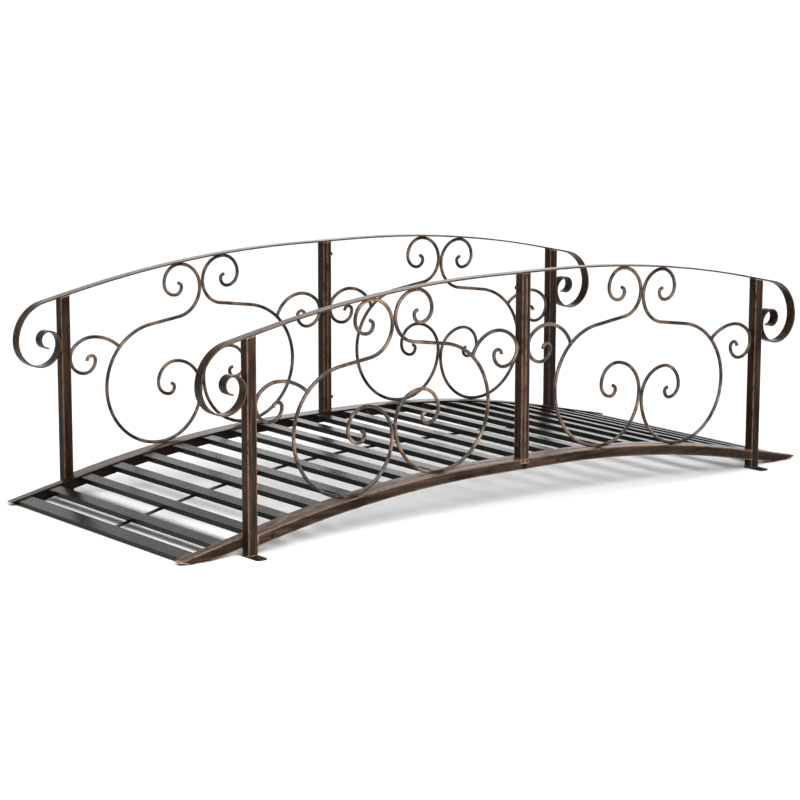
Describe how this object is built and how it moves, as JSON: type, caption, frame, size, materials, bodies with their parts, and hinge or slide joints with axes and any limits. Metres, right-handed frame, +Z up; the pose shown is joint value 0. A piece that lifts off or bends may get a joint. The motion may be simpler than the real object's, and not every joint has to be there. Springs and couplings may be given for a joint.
{
  "type": "garden bridge",
  "caption": "Arched metal garden bridge: slat deck between two railings of scrollwork, square posts on foot plates and flat-bar handrails that end in volutes",
  "frame": {"origin": "on the ground under the middle of the bridge", "axes": "X along the bridge, Y across it, Z up"},
  "size_m": [2.134, 0.998, 0.6391],
  "materials": {
    "frame_steel": "dark bronze coat, rubbed to copper along the edges",
    "post_steel": "dark bronze coat, brushed with copper streaks",
    "rail_steel": "dark bronze coat, satin and grey-brown on top",
    "scroll_steel": "dark bronze coat, rubbed to copper on the outside of the bends",
    "deck_steel": "satin charcoal coat"
  },
  "bodies": {
    "root": {"spine": "deck_steel", "slats_left": "deck_steel", "end_slat_left": "deck_steel", "slats_right": "deck_steel", "end_slat_right": "deck_steel", "stringer_front_left": "frame_steel", "stringer_front_right": "frame_steel", "stringer_back_left": "frame_steel", "stringer_back_right": "frame_steel", "end_post_front_left": "post_steel", "end_post_front_right": "post_steel", "end_post_back_left": "post_steel", "end_post_back_right": "post_steel", "mid_post_front_left": "post_steel", "mid_post_front_right": "post_steel", "mid_post_back_left": "post_steel", "mid_post_back_right": "post_steel", "foot_front_left": "post_steel", "foot_front_right": "post_steel", "foot_back_left": "post_steel", "foot_back_right": "post_steel", "handrail_front_left": "rail_steel", "handrail_front_right": "rail_steel", "handrail_back_left": "rail_steel", "handrail_back_right": "rail_steel", "bottom_rail_front_left": "frame_steel", "bottom_rail_front_right": "frame_steel", "bottom_rail_back_left": "frame_steel", "bottom_rail_back_right": "frame_steel", "inner_scroll_front_left": "scroll_steel", "inner_scroll_front_right": "scroll_steel", "inner_scroll_back_left": "scroll_steel", "inner_scroll_back_right": "scroll_steel", "outer_scroll_front_left": "scroll_steel", "outer_scroll_front_right": "scroll_steel", "outer_scroll_back_left": "scroll_steel", "outer_scroll_back_right": "scroll_steel", "inner_curl_front_left": "scroll_steel", "inner_curl_front_right": "scroll_steel", "inner_curl_back_left": "scroll_steel", "inner_curl_back_right": "scroll_steel", "outer_curl_front_left": "scroll_steel", "outer_curl_front_right": "scroll_steel", "outer_curl_back_left": "scroll_steel", "outer_curl_back_right": "scroll_steel"}
  },
  "joints": []
}
